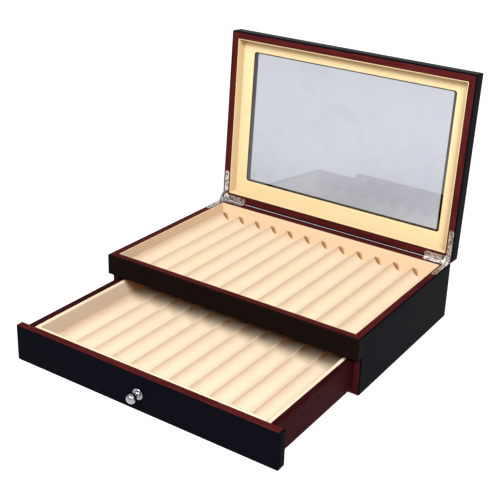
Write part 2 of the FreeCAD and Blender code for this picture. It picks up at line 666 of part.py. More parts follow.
def hinge_pieces():
    """Hinge pieces that stay with the base, and the two stay arms."""
    leaf = base_leaf()
    pin = hinge_pin()
    stay = stay_arm()
    screws = [wood_screw(x, y, RIM_Z, -1, 0) for x, y in screw_places()]
    screws += [mirror_x(screw) for screw in screws]
    return {
        "base_leaf_right": leaf,
        "base_leaf_left": mirror_x(leaf),
        "base_leaf_screws": Part.makeCompound(screws),
        "hinge_pin_right": pin,
        "hinge_pin_left": mirror_x(pin),
        "stay_arm_right": stay,
        "stay_arm_left": mirror_x(stay),
    }


# ---------------------------------------------------------------- files
def main():
    """Write one STEP file for each piece."""
    os.makedirs("parts", exist_ok=True)
    for group in (carcass_pieces(), hinge_pieces(), lid_pieces(), drawer_pieces()):
        for name, shape in group.items():
            shape.exportStep(os.path.join("parts", name + ".step"))


main()
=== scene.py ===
"""Pen collector chest: linings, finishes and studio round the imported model.

Everything is in metres. X runs along the hinges, the drawer opens towards -Y and +Z is up.
Lid pieces are worked out with the lid shut and then turned open about the hinge axis.
"""

import functools
import json
import math

import bpy
import numpy as np
from bpy.props import FloatProperty, FloatVectorProperty, IntProperty, PointerProperty
from mathutils import Matrix, Vector


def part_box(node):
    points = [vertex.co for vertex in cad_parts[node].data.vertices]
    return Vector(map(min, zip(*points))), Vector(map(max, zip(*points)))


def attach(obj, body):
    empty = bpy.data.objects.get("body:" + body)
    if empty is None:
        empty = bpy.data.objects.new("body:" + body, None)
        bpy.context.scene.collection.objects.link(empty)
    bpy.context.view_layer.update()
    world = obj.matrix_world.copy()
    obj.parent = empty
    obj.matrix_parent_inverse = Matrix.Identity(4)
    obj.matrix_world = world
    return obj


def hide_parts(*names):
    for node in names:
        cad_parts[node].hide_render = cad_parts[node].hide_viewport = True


bl_info = {
    "name": "Pen collector chest",
    "version": (1, 0, 0),
    "blender": (4, 5, 0),
    "location": "3D View > Sidebar > Chest",
    "description": "Velvet linings, lacquer, mahogany, steel and glass of a chest for pens",
    "category": "Object",
}

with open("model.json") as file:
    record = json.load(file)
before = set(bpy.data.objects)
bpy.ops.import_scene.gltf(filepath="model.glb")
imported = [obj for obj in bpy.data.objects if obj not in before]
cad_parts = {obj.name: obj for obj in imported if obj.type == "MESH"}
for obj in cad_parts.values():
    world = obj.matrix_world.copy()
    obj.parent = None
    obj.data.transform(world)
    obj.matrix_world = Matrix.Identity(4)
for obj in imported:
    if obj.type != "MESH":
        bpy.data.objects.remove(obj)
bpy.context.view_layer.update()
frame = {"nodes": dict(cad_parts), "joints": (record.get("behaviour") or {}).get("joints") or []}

TRAY = (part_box("tray_insert_left")[0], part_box("tray_insert_right")[1])
TRAY_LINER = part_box("tray_liner")
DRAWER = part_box("drawer_insert")
DRAWER_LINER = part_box("drawer_liner")
DRAWER_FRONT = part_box("drawer_front")
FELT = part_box("base_felt")
RIGHT_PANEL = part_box("right_side_panel")
LID_JOINT = next(joint for joint in frame["joints"] if joint["name"] == "lid_hinge")
HINGE = np.array(LID_JOINT["pos_m"])
OPEN_ANGLE = math.radians(LID_JOINT["range_deg"][1])
QUARTER_TURN = math.pi / 2
MM = 0.001

# Shapes
SLOT_ROWS = 13                # grid rows along a slot
CREST_LINES = np.array([-0.6, -0.3, 0.0, 0.3, 0.6])  # on a crest, share of half its width
MAT_LINES = np.array([0.0, 0.3, 0.6, 0.9])           # on the mat, share of its flat width
EDGE_STEPS = 7                # points round a rounded edge of the linings and the mat
CORNER_STEPS = 6              # points round a corner of the linings and the felt
MAT_CORNER_STEPS = 8
FELT_EDGE_STEPS = 5
SHARP_ANGLE = math.radians(40)
LINING_CORNER = 0.4 * MM      # rounding of the thin linings in the corners
LINING_ROUND = 0.45           # rounding of a thin lining's top, share of its thickness
MAT_WALL_CORNER = 0.3 * MM    # rounding of the mat against the lid's walls
FELT_CORNER = 4 * MM
FELT_ROUND = 0.4              # rounding of the felt's lower edge, share of its thickness
SOFT = 0.2 * MM               # half the blur of a painted edge
BAND_DEPTH = 0.4 * MM         # how far the drawer front's band reaches down
FRONT_END_BLACK = 2 * MM      # black left at both ends of the drawer front's band
END_SHADE_SHARE = 0.65              # share of red on the ends behind the drawer front, lowered as painted shade
LACQUER_ROUGH = 0.30          # roughness of the black and of the red without its grain

# Colours that tint others, and light
CORNER_SHADE_SHARE = (0.30, 0.19, 0.10, 1.0)      # share of its colour kept under painted shade in the slots' back corners
BOUNCE_SHADE_SHARE = (0.46, 0.24, 0.08, 1.0)       # share of its colour that bounced light keeps: painted shade that makes nearby shade darker and browner
SHEEN_TINT = (1.0, 0.93, 0.82, 1.0)
BRUSHED_DOWN = (0.72, 0.62, 0.50, 1.0)  # share of its colour that flattened pile keeps
BRUSHED_UP = (1.0, 0.96, 0.88, 1.0)     # colour that raised pile goes towards
DUST = (0.05, 0.05, 0.06, 1.0)
WARM = (1.0, 0.84, 0.70, 1.0)          # light that the sky gives
WHITE = (1.0, 1.0, 1.0, 1.0)
FLOOR_PAINT = (0.80, 0.80, 0.80, 1.0)
FLOOR_HALF = 6.0                       # half the floor's side
FLOOR_POINTS = 9                       # grid points along each side of the floor
GLOW_FROM, GLOW_TO = 0.25, 1.6         # distances between which the floor's glow grows
GLOW_LOW, GLOW_HIGH = 0.72, 0.97       # glow at those distances
LAMP_TARGET = Vector((0.0, -0.03, 0.08))


def linear(red, green, blue):
    """Linear colour of a paint that shows these 0 to 255 values on a screen."""
    shown = np.array([red, green, blue]) / 255
    low = shown / 12.92
    high = ((shown + 0.055) / 1.055) ** 2.4
    return tuple(float(value) for value in np.where(shown <= 0.04045, low, high))


# ---------------------------------------------------------------- settings
def length(name, description, default):
    """Length setting in metres."""
    return FloatProperty(name=name, description=description, default=default, min=0.0,
                         precision=4, unit="LENGTH")


def colour(name, description, default):
    """Colour setting; the default is given as it shows on a screen."""
    return FloatVectorProperty(name=name, description=description, size=3, min=0.0, max=1.0,
                               subtype="COLOR", default=linear(*default))


def amount(name, description, default, high=1.0):
    """Plain number setting."""
    return FloatProperty(name=name, description=description, default=default, min=0.0, max=high)


def angle(name, description, degrees):
    """Angle setting, given in degrees."""
    return FloatProperty(name=name, description=description, default=math.radians(degrees),
                         subtype="ANGLE", unit="ROTATION")


def place(name, description, default):
    """Point in space."""
    return FloatVectorProperty(name=name, description=description, size=3, default=default,
                               subtype="TRANSLATION", unit="LENGTH")


class ChestLiningSettings(bpy.types.PropertyGroup):
    """Sizes and colours of the velvet linings."""
    slot_pitch: length("Slot pitch", "Middle of one pen slot to the middle of the next",
                       0.02625)
    slot_radius: length("Slot radius", "Radius of the round bottom of a pen slot", 0.0127)
    slot_depth: length("Slot depth", "Crest between two slots down to the bottom", 0.0106)
    slot_skin: length("Slot skin", "Insert left under the bottom of a slot", 0.0012)
    crest_round: length("Crest rounding", "How far a crest rises over the slot edges", 0.00035)
    slot_steps: IntProperty(name="Slot steps", description="Grid steps across one slot",
                            default=36, min=8, max=96)
    thin_board: length("Thin lining", "Thickness of the lining board in tray and lid", 0.001)
    drawer_board: length("Drawer lining", "Thickness of the padded boards in the drawer", 0.005)
    drawer_round: length("Drawer lining edge", "Rounding of the padded boards' top", 0.0018)
    back_drop: length("Back board drop", "Drawer back lining below the side linings", 0.0036)
    mat_side: length("Mat side", "Lid wall to the window, left and right", 0.0177)
    mat_back: length("Mat back", "Lid wall to the window along the hinges", 0.0191)
    mat_front: length("Mat front", "Lid wall to the window along the front", 0.0162)
    mat_corner: length("Mat corner", "Rounding of the window's corners", 0.0035)
    mat_thick: length("Mat thickness", "Thickness of the covered mat", 0.0013)
    tray_velvet: colour("Tray velvet", "Pile colour in the tray", (250, 229, 196))
    # Painted shade: darker and more saturated than the tray velvet, as the upright lining boards
    # look in their weaker light.
    tray_lining: colour("Tray lining", "Pile colour of the boards round the tray",
                        (250, 222, 182))
    drawer_velvet: colour("Drawer velvet", "Pile colour in the drawer", (250, 229, 198))
    # Painted shade: yellower than the tray velvet, as the same velvet looks in the lid's weaker
    # light.
    lid_velvet: colour("Lid velvet", "Pile colour in the lid", (252, 227, 175))
    felt: colour("Felt", "Colour of the felt under the base", (30, 28, 30))


class ChestFinishSettings(bpy.types.PropertyGroup):
    """Colours of wood, lacquer, metal and glass."""
    lacquer: colour("Lacquer", "Black lacquer", (11, 12, 19))
    # Painted light: the front rail's black is warmed to stand for light bounced up from the
    # drawer's velvet.
    rail_bounce_black: colour("Rail lacquer", "Warmer black of the front rail", (23, 16, 13))
    mahogany: colour("Mahogany", "Red stained rim", (92, 32, 32))
    mahogany_dark: colour("Mahogany grain", "Dark streaks in the red rim", (48, 13, 15))
    drawer_wood: colour("Drawer sides", "Varnished sides of the drawer", (58, 18, 21))
    board: colour("Stained board", "Boards inside the carcass", (52, 27, 20))
    rim_edge: length("Black edge", "Black left between the red band and the outside", 0.0020)
    rim_inside: length("Dark inner line", "Dark line between the red band and the lining",
                       0.0006)
    steel: colour("Hinge steel", "Brushed hinge plates", (214, 206, 202))
    screw: colour("Screw steel", "Duller steel of screws and pins", (120, 112, 108))
    chrome: colour("Knob metal", "Polished knob", (146, 147, 153))
    glass: colour("Glass", "Tint of the window", (184, 187, 196))


class ChestStudioSettings(bpy.types.PropertyGroup):
    """Camera and light."""
    target: place("Target", "Point the camera looks at", (0.01655, 0.0, 0.15125))
    distance: length("Distance", "Camera to target", 1.15519)
    azimuth: angle("Azimuth", "Camera turned to the right of the front", 30.92)
    elevation: angle("Elevation", "Camera above the horizontal", 21.75)
    roll: angle("Roll", "Camera turned about its own line of sight", 2.96)
    lens: FloatProperty(name="Lens", description="Focal length in millimetres", default=70.681)
    shift_x: FloatProperty(name="Shift across", description="Lens shift", default=-0.0909)
    shift_y: FloatProperty(name="Shift up", description="Lens shift", default=-0.0937)
    ambient: amount("Ambient", "Light that the sky gives from everywhere", 0.05, 10.0)
    front_power: amount("Front power", "Soft lamp above the front, in watts", 25.5, 1000.0)
    front_size: length("Front size", "Side of the front lamp's square", 0.6)
    front_place: place("Front place", "Middle of the front lamp", (-0.2, -1.55, 1.40))
    side_power: amount("Side power", "Soft lamp above the right side, in watts", 35.0, 1000.0)
    side_size: length("Side size", "Side of the side lamp's square", 0.65)
    side_place: place("Side place", "Middle of the side lamp", (1.15, -1.05, 1.50))


# ---------------------------------------------------------------- surfaces
def grid_faces(rows, columns, wrap_rows=False, wrap_columns=False):
    """Quads of a grid of rows by columns points.

    Face (i, j) joins points (i, j), (i+1, j), (i+1, j+1) and (i, j+1); with a wrap the last
    row or column joins the first again.
    """
    i, j = np.meshgrid(np.arange(rows if wrap_rows else rows - 1),
                       np.arange(columns if wrap_columns else columns - 1), indexing="ij")
    below = (i + 1) % rows
    beside = (j + 1) % columns
    corners = [i * columns + j, below * columns + j, below * columns + beside,
               i * columns + beside]
    return np.stack(corners, axis=-1).reshape(-1, 4)


def grid_border(rows, columns):
    """Indices of the points round the edge of a grid, once round."""
    index = np.arange(rows * columns).reshape(rows, columns)
    return np.concatenate([index[:-1, 0], index[-1, :-1], index[:0:-1, -1], index[0, :0:-1]])


def height_block(xs, ys, top, low):
    """Closed block over a grid of xs by ys.

    The upper surface is z = top(x, y), the underside is z = low, and each edge of the grid
    drops straight down between the two.
    """
    x, y = np.meshgrid(xs, ys, indexing="ij")
    upper = np.stack([x, y, top], axis=-1).reshape(-1, 3)
    lower = upper.copy()
    lower[:, 2] = low
    over = grid_faces(len(xs), len(ys))
    under = over[:, ::-1] + len(upper)
    edge = grid_border(len(xs), len(ys))
    after = np.roll(edge, -1)
    sides = np.stack([edge + len(upper), after + len(upper), after, edge], axis=-1)
    return np.concatenate([upper, lower]), np.concatenate([over, under, sides])


def rounded_loops(x, y, inset, radius, steps):
    """Rounded rectangles inside one rectangle, one row of points for each inset.

    Each corner is a quarter circle: its centre lies one radius in from both sides and its
    points are centre + radius * (cosine, sine), anticlockwise from the front right corner.
    """
    turn = np.linspace(0, QUARTER_TURN, steps)
    angles = (turn[None, :] + QUARTER_TURN * np.arange(-1, 3)[:, None]).reshape(-1)
    right = np.repeat([1, 1, 0, 0], steps)
    back = np.repeat([0, 1, 1, 0], steps)
    inset = np.asarray(inset)[:, None]
    radius = np.asarray(radius)[:, None]
    reach = inset + radius
    centre_x = np.where(right, x[1] - reach, x[0] + reach)
    centre_y = np.where(back, y[1] - reach, y[0] + reach)
    return centre_x + radius * np.cos(angles), centre_y + radius * np.sin(angles)


def loop_points(loop_x, loop_y, height):
    """Points of loops, one row for each loop, at z = height of the row."""
    loop_z = np.broadcast_to(height[:, None], loop_x.shape)
    return np.stack([loop_x, loop_y, loop_z], axis=-1).reshape(-1, 3)


def thin_lining(x, y, low, high, thick):
    """Closed ring of thin board: a rounded top profile carried round a rectangle."""
    inset, height = rounded_top(thick, low, high, thick * LINING_ROUND)
    corner = np.full_like(inset, LINING_CORNER)
    loop_x, loop_y = rounded_loops(x, y, inset, corner, CORNER_STEPS)
    faces = grid_faces(*loop_x.shape, wrap_rows=True, wrap_columns=True)
    return loop_points(loop_x, loop_y, height), faces


def rounded_top(thickness, low, high, radius):
    """Upright board profile, as insets and heights: two straight sides under a rounded top.

    Both top corners are quarter circles of the given radius. The points run up the inner side
    and down the wall side.
    """
    turn = np.linspace(0, QUARTER_TURN, EDGE_STEPS)
    inner = thickness - radius + radius * np.cos(turn)
    outer = radius - radius * np.sin(turn)
    climb = high - radius + radius * np.sin(turn)
    fall = high - radius + radius * np.cos(turn)
    inset = np.concatenate([[thickness], inner, outer, [0.0]])
    height = np.concatenate([[low], climb, fall, [low]])
    return inset, height


def straight_board(start, end, inward, inset, height):
    """Closed board: a profile of (inset, height) points carried from start to end.

    A point is start + t * (end - start) + inset * inward, at its height; both ends close on
    the middle of the profile.
    """
    ends = np.array([start, end], dtype=float)
    inward = np.array(inward, dtype=float)
    flat = ends[:, None, :] + inset[None, :, None] * inward
    z = np.broadcast_to(height[None, :, None], (2, len(height), 1))
    points = np.concatenate([flat, z], axis=-1)
    middles = points.mean(axis=1)
    count = len(height)
    sides = grid_faces(2, count, wrap_columns=True)
    index = np.arange(count)
    after = np.roll(index, -1)
    near = np.stack([index, after, np.full(count, 2 * count)], axis=-1)
    far = np.stack([after + count, index + count, np.full(count, 2 * count + 1)], axis=-1)
    faces = sides.tolist() + near.tolist() + far.tolist()
    return np.concatenate([points.reshape(-1, 3), middles]), faces


def turned(points, angle):
    """Points turned about the hinge.

    y = hinge y + dy * cosine + dz * sine and z = hinge z - dy * sine + dz * cosine, where
    dy and dz are measured from the hinge.
    """
    y = points[:, 1] - HINGE[1]
    z = points[:, 2] - HINGE[2]
    return np.stack([points[:, 0],
                     HINGE[1] + y * math.cos(angle) + z * math.sin(angle),
                     HINGE[2] - y * math.sin(angle) + z * math.cos(angle)], axis=1)


def slot_heights(xs, left, count, settings, low):
    """Height of a slotted insert at each x.

    In a slot, z is the centre height minus the root of radius squared less the distance to
    the slot's middle squared. Between two slots a shallow arch rises by the crest rounding
    and falls as the square of the distance from the crest. Outside the slots z is level.
    """
    radius = settings.slot_radius
    pitch = settings.slot_pitch
    centre = low + settings.slot_skin + radius
    crest = low + settings.slot_skin + settings.slot_depth
    reach = math.sqrt(radius ** 2 - (centre - crest) ** 2)
    along = xs - left
    slot = np.clip(np.floor(along / pitch), 0, count - 1)
    off = along - (slot + 0.5) * pitch
    hollow = centre - np.sqrt(np.maximum(radius ** 2 - off ** 2, 0))
    half_crest = pitch / 2 - reach
    line = np.round(along / pitch)
    from_crest = np.abs(along - line * pitch)
    arch = crest + settings.crest_round * (1 - (from_crest / half_crest) ** 2)
    between = (line > 0) & (line < count) & (from_crest < half_crest)
    level = np.where(between, arch, crest)
    return np.where(np.abs(off) < reach, hollow, level)


def slotted_surface(low, high, settings):
    """Closed velvet insert that fills a box: slots side by side from its left edge."""
    pitch = settings.slot_pitch
    count = int((high[0] - low[0]) // pitch)
    radius = settings.slot_radius
    rise = radius - settings.slot_depth
    reach = math.sqrt(radius ** 2 - rise ** 2)
    sweep = np.linspace(-1, 1, settings.slot_steps) * math.asin(reach / radius)
    slot = low[0] + (np.arange(count)[:, None] + 0.5) * pitch + radius * np.sin(sweep)
    crest = low[0] + np.arange(1, count)[:, None] * pitch
    crest = crest + (pitch / 2 - reach) * CREST_LINES
    xs = np.unique(np.concatenate([[low[0], high[0]], slot.ravel(), crest.ravel()]).round(7))
    ys = np.linspace(low[1], high[1], SLOT_ROWS)
    profile = slot_heights(xs, low[0], count, settings, low[2])
    return height_block(xs, ys, np.repeat(profile[:, None], len(ys), axis=1), low[2])


def new_object(name, points, faces, material):
    """Mesh object at the origin."""
    mesh = bpy.data.meshes.new(name)
    mesh.from_pydata(points.tolist(), [], [list(face) for face in faces])
    mesh.materials.append(material)
    made = bpy.data.objects.new(name, mesh)
    bpy.context.scene.collection.objects.link(made)
    return made


def new_piece(name, points, faces, body, nodes, material):
    """Smooth object that rides on a body and stands for CAD nodes."""
    piece = new_object(name, points, faces, material)
    piece.data.validate()
    piece.data.shade_smooth()
    piece.data.set_sharp_from_angle(angle=SHARP_ANGLE)
    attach(piece, body)
    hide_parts(*nodes)
    return piece


def slotted_insert(name, box, body, nodes, settings, velvet):
    """Padded insert with slots that fills the box of the nodes it stands for."""
    points, faces = slotted_surface(*box, settings)
    insert = new_piece(name, points, faces, body, nodes, velvet)


# ---------------------------------------------------------------- node helpers
class Tree:
    """Adds and joins nodes; a value is a socket to link or a constant to set."""

    def __init__(self, tree):
        self.tree = tree

    def put(self, socket, value):
        """Link a socket or set a constant."""
        if isinstance(value, bpy.types.NodeSocket):
            self.tree.links.new(value, socket)
        elif value is not None:
            socket.default_value = value

    def add(self, kind, inputs=None, **settings):
        """New node with its settings and inputs, the latter by name or number."""
        node = self.tree.nodes.new(kind)
        for name, value in settings.items():
            setattr(node, name, value)
        for name, value in (inputs or {}).items():
            self.put(node.inputs[name], value)
        return node

    def fill(self, inputs, **values):
        """Put values into inputs by name; underscores stand for spaces."""
        for name, value in values.items():
            self.put(inputs[name.replace("_", " ")], value)

    def math(self, operation, *values):
        """Result of one Math node."""
        node = self.add("ShaderNodeMath", dict(enumerate(values)), operation=operation)
        return node.outputs[0]

    def plus(self, *values):
        """Sum of values."""
        return functools.reduce(lambda one, two: self.math("ADD", one, two), values)

    def times(self, *values):
        """Product of values."""
        return functools.reduce(lambda one, two: self.math("MULTIPLY", one, two), values)

    def minus(self, first, second):
        """First value less the second."""
        return self.math("SUBTRACT", first, second)

    def span(self, value, low, high, to_low=0.0, to_high=1.0, smooth=True):
        """Value mapped from low..high to a new range and held at its ends."""
        kind = "SMOOTHSTEP" if smooth else "LINEAR"
        values = dict(enumerate((value, low, high, to_low, to_high)))
        return self.add("ShaderNodeMapRange", values, interpolation_type=kind).outputs[0]

    def mix(self, factor, first, second, blend="MIX"):
        """Colour between two colours."""
        node = self.add("ShaderNodeMix", data_type="RGBA", blend_type=blend)
        for socket, value in zip((node.inputs[0], node.inputs[6], node.inputs[7]),
                                 (factor, first, second)):
            self.put(socket, value)
        return node.outputs[2]

    def tint(self, first, second):
        """Product of two colours."""
        return self.mix(1.0, first, second, blend="MULTIPLY")

    def noise(self, vector, scale, detail=3.0, roughness=0.55, distortion=0.0):
        """Value of a Noise Texture."""
        node = self.add("ShaderNodeTexNoise")
        self.fill(node.inputs, Vector=vector, Scale=scale, Detail=detail, Roughness=roughness,
                  Distortion=distortion)
        return node.outputs["Fac"]

    def mapping(self, vector, location=(0, 0, 0), rotation=(0, 0, 0), scale=(1, 1, 1)):
        """Vector scaled, then turned, then moved."""
        node = self.add("ShaderNodeMapping")
        self.fill(node.inputs, Vector=vector, Location=location, Rotation=rotation, Scale=scale)
        return node.outputs[0]

    def stretched(self, vector, x=1.0, y=1.0):
        """Vector squeezed along X or Y, which draws a pattern out that way."""
        return self.mapping(vector, scale=(x, y, 1.0))

    def turned_flat(self, vector, angle):
        """Vector turned about Z."""
        return self.mapping(vector, rotation=(0, 0, angle))

    def axes(self, vector):
        """X, Y and Z of a vector."""
        return self.add("ShaderNodeSeparateXYZ", {0: vector}).outputs

    def group(self, name, **inputs):
        """Placed copy of a shared group with its own values."""
        node = self.tree.nodes.new("ShaderNodeGroup")
        node.node_tree = shared(name)
        self.fill(node.inputs, **inputs)
        return node.outputs

    def bump(self, height, distance, strength):
        """Normal from a height."""
        node = self.add("ShaderNodeBump")
        self.fill(node.inputs, Height=height, Distance=distance, Strength=strength)
        return node.outputs[0]


def rgba(value):
    """Colour setting with full opacity."""
    return (*value, 1.0)


def darker(value, share):
    """Colour setting times a share, with full opacity."""
    return rgba([channel * share for channel in value])


def new_group(name, inputs, outputs):
    """Empty node group with a Vector input, and other inputs by name and default.

    An input with four values is a colour, and so is an output that is called Color. The
    others are numbers.
    """
    group = bpy.data.node_groups.new(name, "ShaderNodeTree")

    def socket(label, way, kind):
        return group.interface.new_socket(name=label, in_out=way,
                                          socket_type="NodeSocket" + kind)

    socket("Vector", "INPUT", "Vector")
    for label, default in inputs.items():
        kind = "Color" if isinstance(default, tuple) else "Float"
        socket(label, "INPUT", kind).default_value = default
    for label in outputs:
        socket(label, "OUTPUT", "Color" if label == "Color" else "Float")
    return (Tree(group), group.nodes.new("NodeGroupInput").outputs,
            group.nodes.new("NodeGroupOutput").inputs)


def new_material(name):
    """Material with a Principled shader; gives it, its tree and the shader's inputs."""
    material = bpy.data.materials.new(name)
    material.use_nodes = True
    shader = material.node_tree.nodes["Principled BSDF"].inputs
    return material, Tree(material.node_tree), shader


def object_vector(tree):
    """Object coordinates."""
    return tree.add("ShaderNodeTexCoord").outputs["Object"]


def shut_vector(tree):
    """Object coordinates of an open lid piece turned back to where it is when shut."""
    turn = Matrix.Rotation(OPEN_ANGLE, 3, "X")
    hinge = Vector(HINGE)
    move = hinge - turn @ hinge
    return tree.mapping(object_vector(tree), location=move, rotation=(OPEN_ANGLE, 0, 0))


# ---------------------------------------------------------------- shared effects
def wood_grain_group():
    """Straight grain along X: long streaks, fine pores and slow drifts between two colours."""
    tree, start, end = new_group(
        "wood_grain",
        {"Light": (0.2, 0.05, 0.04, 1.0), "Dark": (0.05, 0.01, 0.01, 1.0),
         "Streak Size": 2.2 * MM, "Contrast": 0.6}, ["Color", "Height"])
    vector = start["Vector"]
    size = tree.math("DIVIDE", 1.0, start["Streak Size"])
    bend = tree.times(tree.noise(vector, scale=9.0, detail=2.0), 12 * MM)
    shifted = tree.add("ShaderNodeVectorMath", {0: tree.stretched(vector, 0.045), 1: bend},
                       operation="ADD")
    streaks = tree.noise(shifted.outputs[0], size, detail=5.0, roughness=0.6, distortion=0.4)
    pores = tree.noise(tree.stretched(vector, 0.06), scale=2600.0, detail=2.0)
    drift = tree.noise(vector, scale=22.0, detail=2.0)
    mixed = tree.plus(tree.times(streaks, 0.75), tree.times(drift, 0.25))
    dark_share = tree.times(tree.span(mixed, 0.38, 0.64), start["Contrast"])
    share = tree.math("MAXIMUM", dark_share, tree.span(pores, 0.60, 0.72, 0.0, 0.35))
    tree.fill(end, Color=tree.mix(share, start["Light"], start["Dark"]),
              Height=tree.minus(1.0, share))


def velvet_group():
    """Short pile: brushed patches, lighter and darker, with strokes along Y and tufts."""
    tree, start, end = new_group(
        "velvet_pile",
        {"Color": (0.9, 0.8, 0.6, 1.0), "Nap": 0.10, "Nap Size": 22 * MM,
         "Tuft Size": 0.35 * MM}, ["Color", "Roughness", "Height"])
    vector = start["Vector"]
    nap = tree.noise(vector, tree.math("DIVIDE", 1.0, start["Nap Size"]), detail=4.0,
                     roughness=0.6, distortion=0.8)
    strokes = tree.noise(tree.stretched(vector, y=0.18), scale=420.0)
    tufts = tree.noise(vector, tree.math("DIVIDE", 1.0, start["Tuft Size"]), detail=2.0,
                       roughness=0.7)
    brushed = tree.plus(tree.times(nap, 0.6), tree.times(strokes, 0.4))
    patch = tree.span(brushed, 0.30, 0.70, -1.0, 1.0)
    fleck = tree.span(tufts, 0.25, 0.75, -0.5, 0.5)
    change = tree.times(tree.plus(patch, fleck), start["Nap"])
    brushed_down = tree.tint(start["Color"], BRUSHED_DOWN)
    brushed_up = tree.mix(0.35, start["Color"], BRUSHED_UP)
    down = tree.math("MAXIMUM", tree.times(change, -1.0), 0.0)
    up = tree.math("MAXIMUM", change, 0.0)
    shade = tree.mix(down, start["Color"], brushed_down)
    tree.fill(end, Color=tree.mix(up, shade, brushed_up),
              Roughness=tree.span(brushed, 0.3, 0.7, 0.82, 1.0),
              Height=tree.plus(tufts, tree.times(strokes, 0.5)))


def polish_group():
    """Rubbed lacquer: faint orange peel, cloudy rub marks and a little dust."""
    tree, start, end = new_group(
        "rubbed_lacquer",
        {"Color": (0.01, 0.01, 0.01, 1.0), "Roughness": 0.3, "Rub": 0.12, "Dust": 0.02},
        ["Color", "Roughness", "Height"])
    vector = start["Vector"]
    peel = tree.noise(vector, scale=650.0, detail=2.0, roughness=0.5)
    cloud = tree.noise(vector, scale=30.0, detail=4.0, roughness=0.6, distortion=0.5)
    hairs = tree.noise(tree.stretched(vector, 0.03), scale=1500.0, detail=2.0)
    specks = tree.span(tree.noise(vector, scale=900.0, detail=1.0), 0.70, 0.78)
    dust = tree.times(tree.plus(specks, tree.span(cloud, 0.5, 0.8)), start["Dust"])
    rub = tree.times(tree.minus(cloud, 0.5), start["Rub"])
    lines = tree.times(tree.minus(hairs, 0.5), start["Rub"], 0.4)
    rough = tree.plus(start["Roughness"], rub, lines, tree.times(dust, 2.0))
    tree.fill(end, Color=tree.mix(dust, start["Color"], DUST), Height=peel,
              Roughness=tree.math("MINIMUM", rough, 1.0))


def brushed_group():
    """Brushed metal: fine lines along Y, light and dark, and patches worn bright or dull."""
    tree, start, end = new_group(
        "brushed_metal",
        {"Color": (0.6, 0.55, 0.56, 1.0), "Roughness": 0.3, "Lines": 0.2, "Wear": 0.2},
        ["Color", "Roughness", "Height"])
    vector = start["Vector"]
    lines = tree.noise(tree.stretched(vector, y=0.03), scale=3200.0)
    cloud = tree.noise(vector, scale=330.0)
    change = tree.times(tree.minus(lines, 0.5), start["Lines"])
    worn = tree.times(tree.span(cloud, 0.40, 0.60, -1.0, 0.0), start["Wear"])
    tone = tree.plus(1.0, change, worn)
    grey = tree.add("ShaderNodeCombineXYZ", {0: tone, 1: tone, 2: tone}).outputs[0]
    dull = tree.span(cloud, 0.4, 0.7, 0.0, 0.08)
    tree.fill(end, Color=tree.tint(start["Color"], grey), Height=lines,
              Roughness=tree.plus(start["Roughness"], tree.times(change, 0.6), dull))


def rim_band_group():
    """Mask of the red band on a rim.

    It is 1 where a point is nearer than Reach to the level Face, further in than Edge from
    the outside faces at plus and minus Half X and Half Y, and further out than Line from
    the inner walls at plus and minus Inner X, at Inner Front and at Inner Back.
    """
    tree, start, end = new_group(
        "rim_band",
        {"Half X": 0.1725, "Half Y": 0.1155, "Face": 0.07, "Reach": 0.6 * MM, "Edge": 2 * MM,
         "Inner X": 0.163, "Inner Front": -0.106, "Inner Back": 0.104, "Line": 0.6 * MM},
        ["Mask"])
    x, y, z = tree.axes(start["Vector"])
    across = tree.math("ABSOLUTE", x)
    outside = tree.math("MINIMUM", tree.minus(start["Half X"], across),
                        tree.minus(start["Half Y"], tree.math("ABSOLUTE", y)))
    lengthways = tree.math("MAXIMUM", tree.minus(start["Inner Front"], y),
                           tree.minus(y, start["Inner Back"]))
    inside = tree.math("MAXIMUM", tree.minus(across, start["Inner X"]), lengthways)
    outer = tree.span(tree.minus(outside, start["Edge"]), -SOFT, SOFT)
    inner = tree.span(tree.minus(inside, start["Line"]), -SOFT, SOFT)
    away = tree.math("ABSOLUTE", tree.minus(z, start["Face"]))
    level = tree.span(tree.minus(start["Reach"], away), -SOFT / 4, SOFT / 4)
    tree.put(end["Mask"], tree.times(level, outer, inner))


def painted_slot_shade_group():
    """Mask of painted shade in the corners where the left flank of each slot meets the back
    board.

    A point's distance from the middle line of its slot gives how far it lies inside the
    slot's arc. The mask falls from 1 at the arc to 0 at Width inside it, as the square root
    of a straight fall does. It is 0 right of Stop, above Top, in front of Back and outside
    the Count slots from Left.
    """
    tree, start, end = new_group(
        "painted_slot_shade",
        {"Left": -0.16, "Pitch": 0.026, "Count": 12.0, "Radius": 12.7 * MM, "Centre": 0.06,
         "Top": 0.06, "Back": 0.1, "Width": 8.5 * MM, "Stop": -2 * MM}, ["Mask"])
    x, y, z = tree.axes(start["Vector"])
    along = tree.math("DIVIDE", tree.minus(x, start["Left"]), start["Pitch"])
    off = tree.times(tree.minus(tree.math("FRACT", along), 0.5), start["Pitch"])
    down = tree.minus(z, start["Centre"])
    from_middle = tree.math("SQRT", tree.plus(tree.times(off, off), tree.times(down, down)))
    inside = tree.minus(start["Radius"], from_middle)
    near = tree.math("SQRT", tree.minus(1.0, tree.span(inside, 0.0, start["Width"])))
    left = tree.span(tree.minus(off, start["Stop"]), -4 * MM, 0.0, 1.0, 0.0)
    below = tree.span(tree.minus(start["Top"], z), -MM, 2 * MM)
    behind = tree.math("GREATER_THAN", y, start["Back"])
    after_first = tree.math("GREATER_THAN", along, 0.0)
    before_last = tree.math("LESS_THAN", along, start["Count"])
    tree.put(end["Mask"], tree.times(near, left, below, behind, after_first, before_last))


GROUPS = {"wood_grain": wood_grain_group, "velvet_pile": velvet_group,
          "rubbed_lacquer": polish_group, "brushed_metal": brushed_group,
          "rim_band": rim_band_group, "painted_slot_shade": painted_slot_shade_group}


def shared(name):
    """Node group by name, built the first time it is asked for."""
    if name not in bpy.data.node_groups:
        GROUPS[name]()
    return bpy.data.node_groups[name]


# ---------------------------------------------------------------- materials
def nowhere(_tree, _vector):
    """Empty mask, for pile without painted shade and for lacquer without a red band."""
    return 0.0


